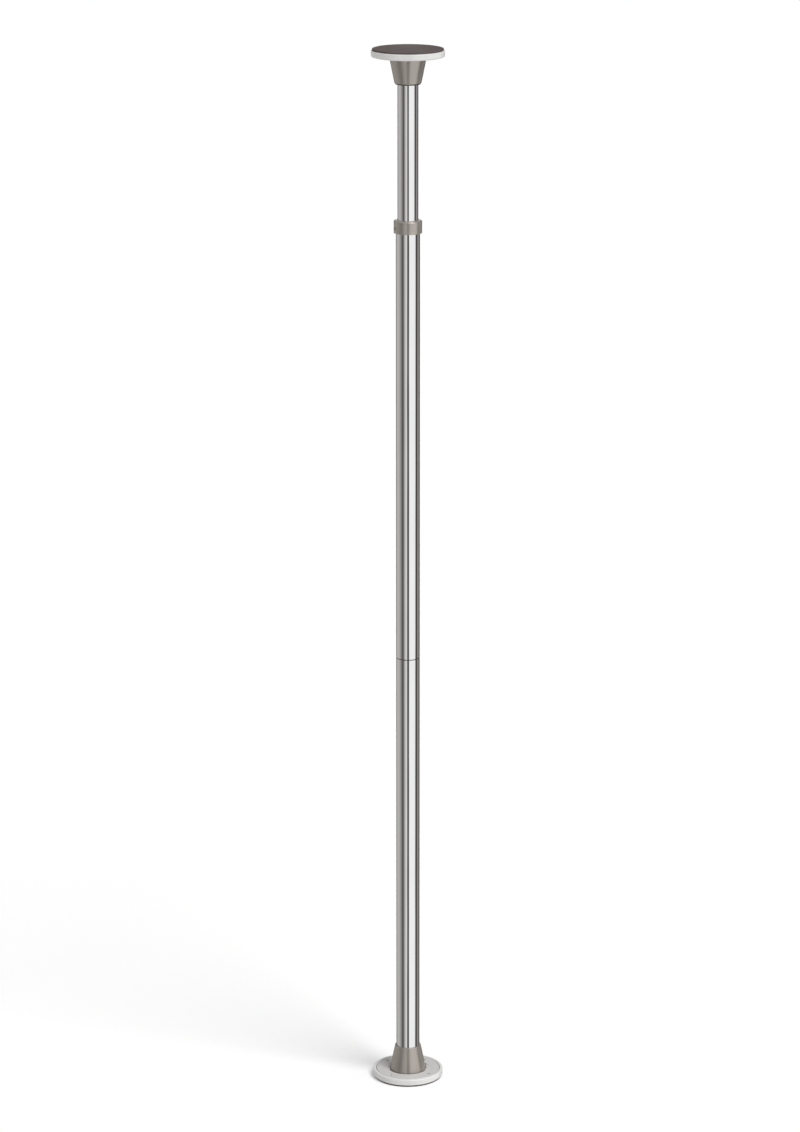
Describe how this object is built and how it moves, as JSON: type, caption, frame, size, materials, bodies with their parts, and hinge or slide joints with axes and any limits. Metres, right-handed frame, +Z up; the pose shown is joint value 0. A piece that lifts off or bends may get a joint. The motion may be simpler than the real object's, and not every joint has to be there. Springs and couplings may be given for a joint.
{
  "type": "dance pole",
  "caption": "Standing tension dance pole: chromed screw-together tubes, a telescoping top with a clamp collar, tapered feet and round rubber-backed caps at floor and ceiling.",
  "frame": {"origin": "on the floor, on the pole's axis, at the centre of the floor cap's rubber pad", "axes": "+Z up the pole towards the ceiling; +X towards the pole's right clamp screw; -Y is the front"},
  "size_m": [0.151, 0.151, 2.235],
  "materials": {
    "chrome": "polished chrome plate",
    "silver_plastic": "satin, silver-grey metallic moulded plastic",
    "white_plastic": "satin moulded plastic",
    "pale_grey_plastic": "fine-grained moulded plastic",
    "brown_rubber": "matt, grained",
    "zinc_steel": "zinc plated",
    "aluminium": "turned",
    "nylon": "black nylon",
    "brass": "turned"
  },
  "bodies": {
    "floor_cap": {"floor_cap_pad": "brown_rubber", "floor_cap_shell": "white_plastic", "floor_cap_plate": "pale_grey_plastic", "floor_cap_screw_1": "zinc_steel", "floor_cap_screw_2": "zinc_steel", "floor_cap_screw_3": "zinc_steel", "floor_cap_screw_4": "zinc_steel"},
    "foot": {"foot_cone": "silver_plastic", "foot_pad": "brown_rubber", "foot_base_plate": "zinc_steel", "foot_plate_screw_1": "zinc_steel", "foot_plate_screw_2": "zinc_steel", "foot_plate_screw_3": "zinc_steel", "jack_screw": "zinc_steel", "jack_washer": "zinc_steel", "jack_lock_nut": "zinc_steel"},
    "glide_ring": {"foot_glide_ring": "nylon"},
    "lower_pole": {"lower_tube": "chrome", "jack_plug": "aluminium", "jack_plug_pin_1": "zinc_steel", "jack_plug_pin_2": "zinc_steel", "joiner_stud": "aluminium"},
    "seam_ring": {"seam_washer": "nylon"},
    "middle_pole": {"middle_tube": "chrome", "joiner_socket": "aluminium", "mouth_bush": "nylon", "clamp_collar": "silver_plastic"},
    "right_clamp_pad": {"clamp_pad_right": "brass"},
    "right_clamp_screw": {"clamp_screw_right": "zinc_steel"},
    "left_clamp_pad": {"clamp_pad_left": "brass"},
    "left_clamp_screw": {"clamp_screw_left": "zinc_steel"},
    "extension": {"extension_tube": "chrome", "extension_guide": "nylon", "swivel_plug": "aluminium", "swivel_plug_pin_1": "zinc_steel", "swivel_plug_pin_2": "zinc_steel"},
    "head": {"head_cone": "silver_plastic", "head_pad": "brown_rubber", "head_base_plate": "zinc_steel", "head_plate_screw_1": "zinc_steel", "head_plate_screw_2": "zinc_steel", "head_plate_screw_3": "zinc_steel", "swivel_spindle": "zinc_steel", "swivel_thrust_washer": "brass", "swivel_washer": "zinc_steel", "swivel_lock_nut": "zinc_steel", "head_reducer_bush": "nylon"},
    "ceiling_cap": {"ceiling_cap_pad": "brown_rubber", "ceiling_cap_shell": "white_plastic", "ceiling_cap_plate": "pale_grey_plastic", "ceiling_cap_screw_1": "zinc_steel", "ceiling_cap_screw_2": "zinc_steel", "ceiling_cap_screw_3": "zinc_steel", "ceiling_cap_screw_4": "zinc_steel"}
  },
  "joints": [
    {"name": "foot_twist", "type": "hinge", "parent": "floor_cap", "child": "foot", "pos_m": [0, 0, 0], "axis": [0, 0, 1], "range_deg": [0, 90]},
    {"name": "pole_raise", "type": "slide", "parent": "foot", "child": "glide_ring", "axis": [0, 0, 1], "range_m": [0, 0.03]},
    {"name": "pole_turn", "type": "hinge", "parent": "glide_ring", "child": "lower_pole", "pos_m": [0, 0, 0], "axis": [0, 0, 1], "range_deg": [0, 2160]},
    {"name": "middle_lift", "type": "slide", "parent": "lower_pole", "child": "seam_ring", "axis": [0, 0, 1], "range_m": [0, 0.036]},
    {"name": "middle_turn", "type": "hinge", "parent": "seam_ring", "child": "middle_pole", "pos_m": [0, 0, 0], "axis": [0, 0, 1], "range_deg": [0, 2160]},
    {"name": "right_pad_slide", "type": "slide", "parent": "middle_pole", "child": "right_clamp_pad", "axis": [1, 0, 0], "range_m": [0, 0.003]},
    {"name": "right_screw_turn", "type": "hinge", "parent": "right_clamp_pad", "child": "right_clamp_screw", "pos_m": [0.0262, 0, 1.8676], "axis": [1, 0, 0], "range_deg": [0, 1080]},
    {"name": "left_pad_slide", "type": "slide", "parent": "middle_pole", "child": "left_clamp_pad", "axis": [-1, 0, 0], "range_m": [0, 0.003]},
    {"name": "left_screw_turn", "type": "hinge", "parent": "left_clamp_pad", "child": "left_clamp_screw", "pos_m": [-0.0262, 0, 1.8676], "axis": [-1, 0, 0], "range_deg": [0, 1080]},
    {"name": "extension_slide", "type": "slide", "parent": "middle_pole", "child": "extension", "axis": [0, 0, 1], "range_m": [0, 0.508]},
    {"name": "head_swivel", "type": "hinge", "parent": "extension", "child": "head", "pos_m": [0, 0, 2.2], "axis": [0, 0, 1], "continuous": true},
    {"name": "ceiling_cap_twist", "type": "hinge", "parent": "head", "child": "ceiling_cap", "pos_m": [0, 0, 2.235], "axis": [0, 0, 1], "range_deg": [0, 90]}
  ],
  "couplings": [
    {"joint": "pole_raise", "follows": "pole_turn", "m_per_rad": 0.00079577},
    {"joint": "middle_lift", "follows": "middle_turn", "m_per_rad": 0.00095493},
    {"joint": "right_screw_turn", "follows": "right_pad_slide", "rad_per_m": 6283.2},
    {"joint": "left_screw_turn", "follows": "left_pad_slide", "rad_per_m": 6283.2}
  ]
}
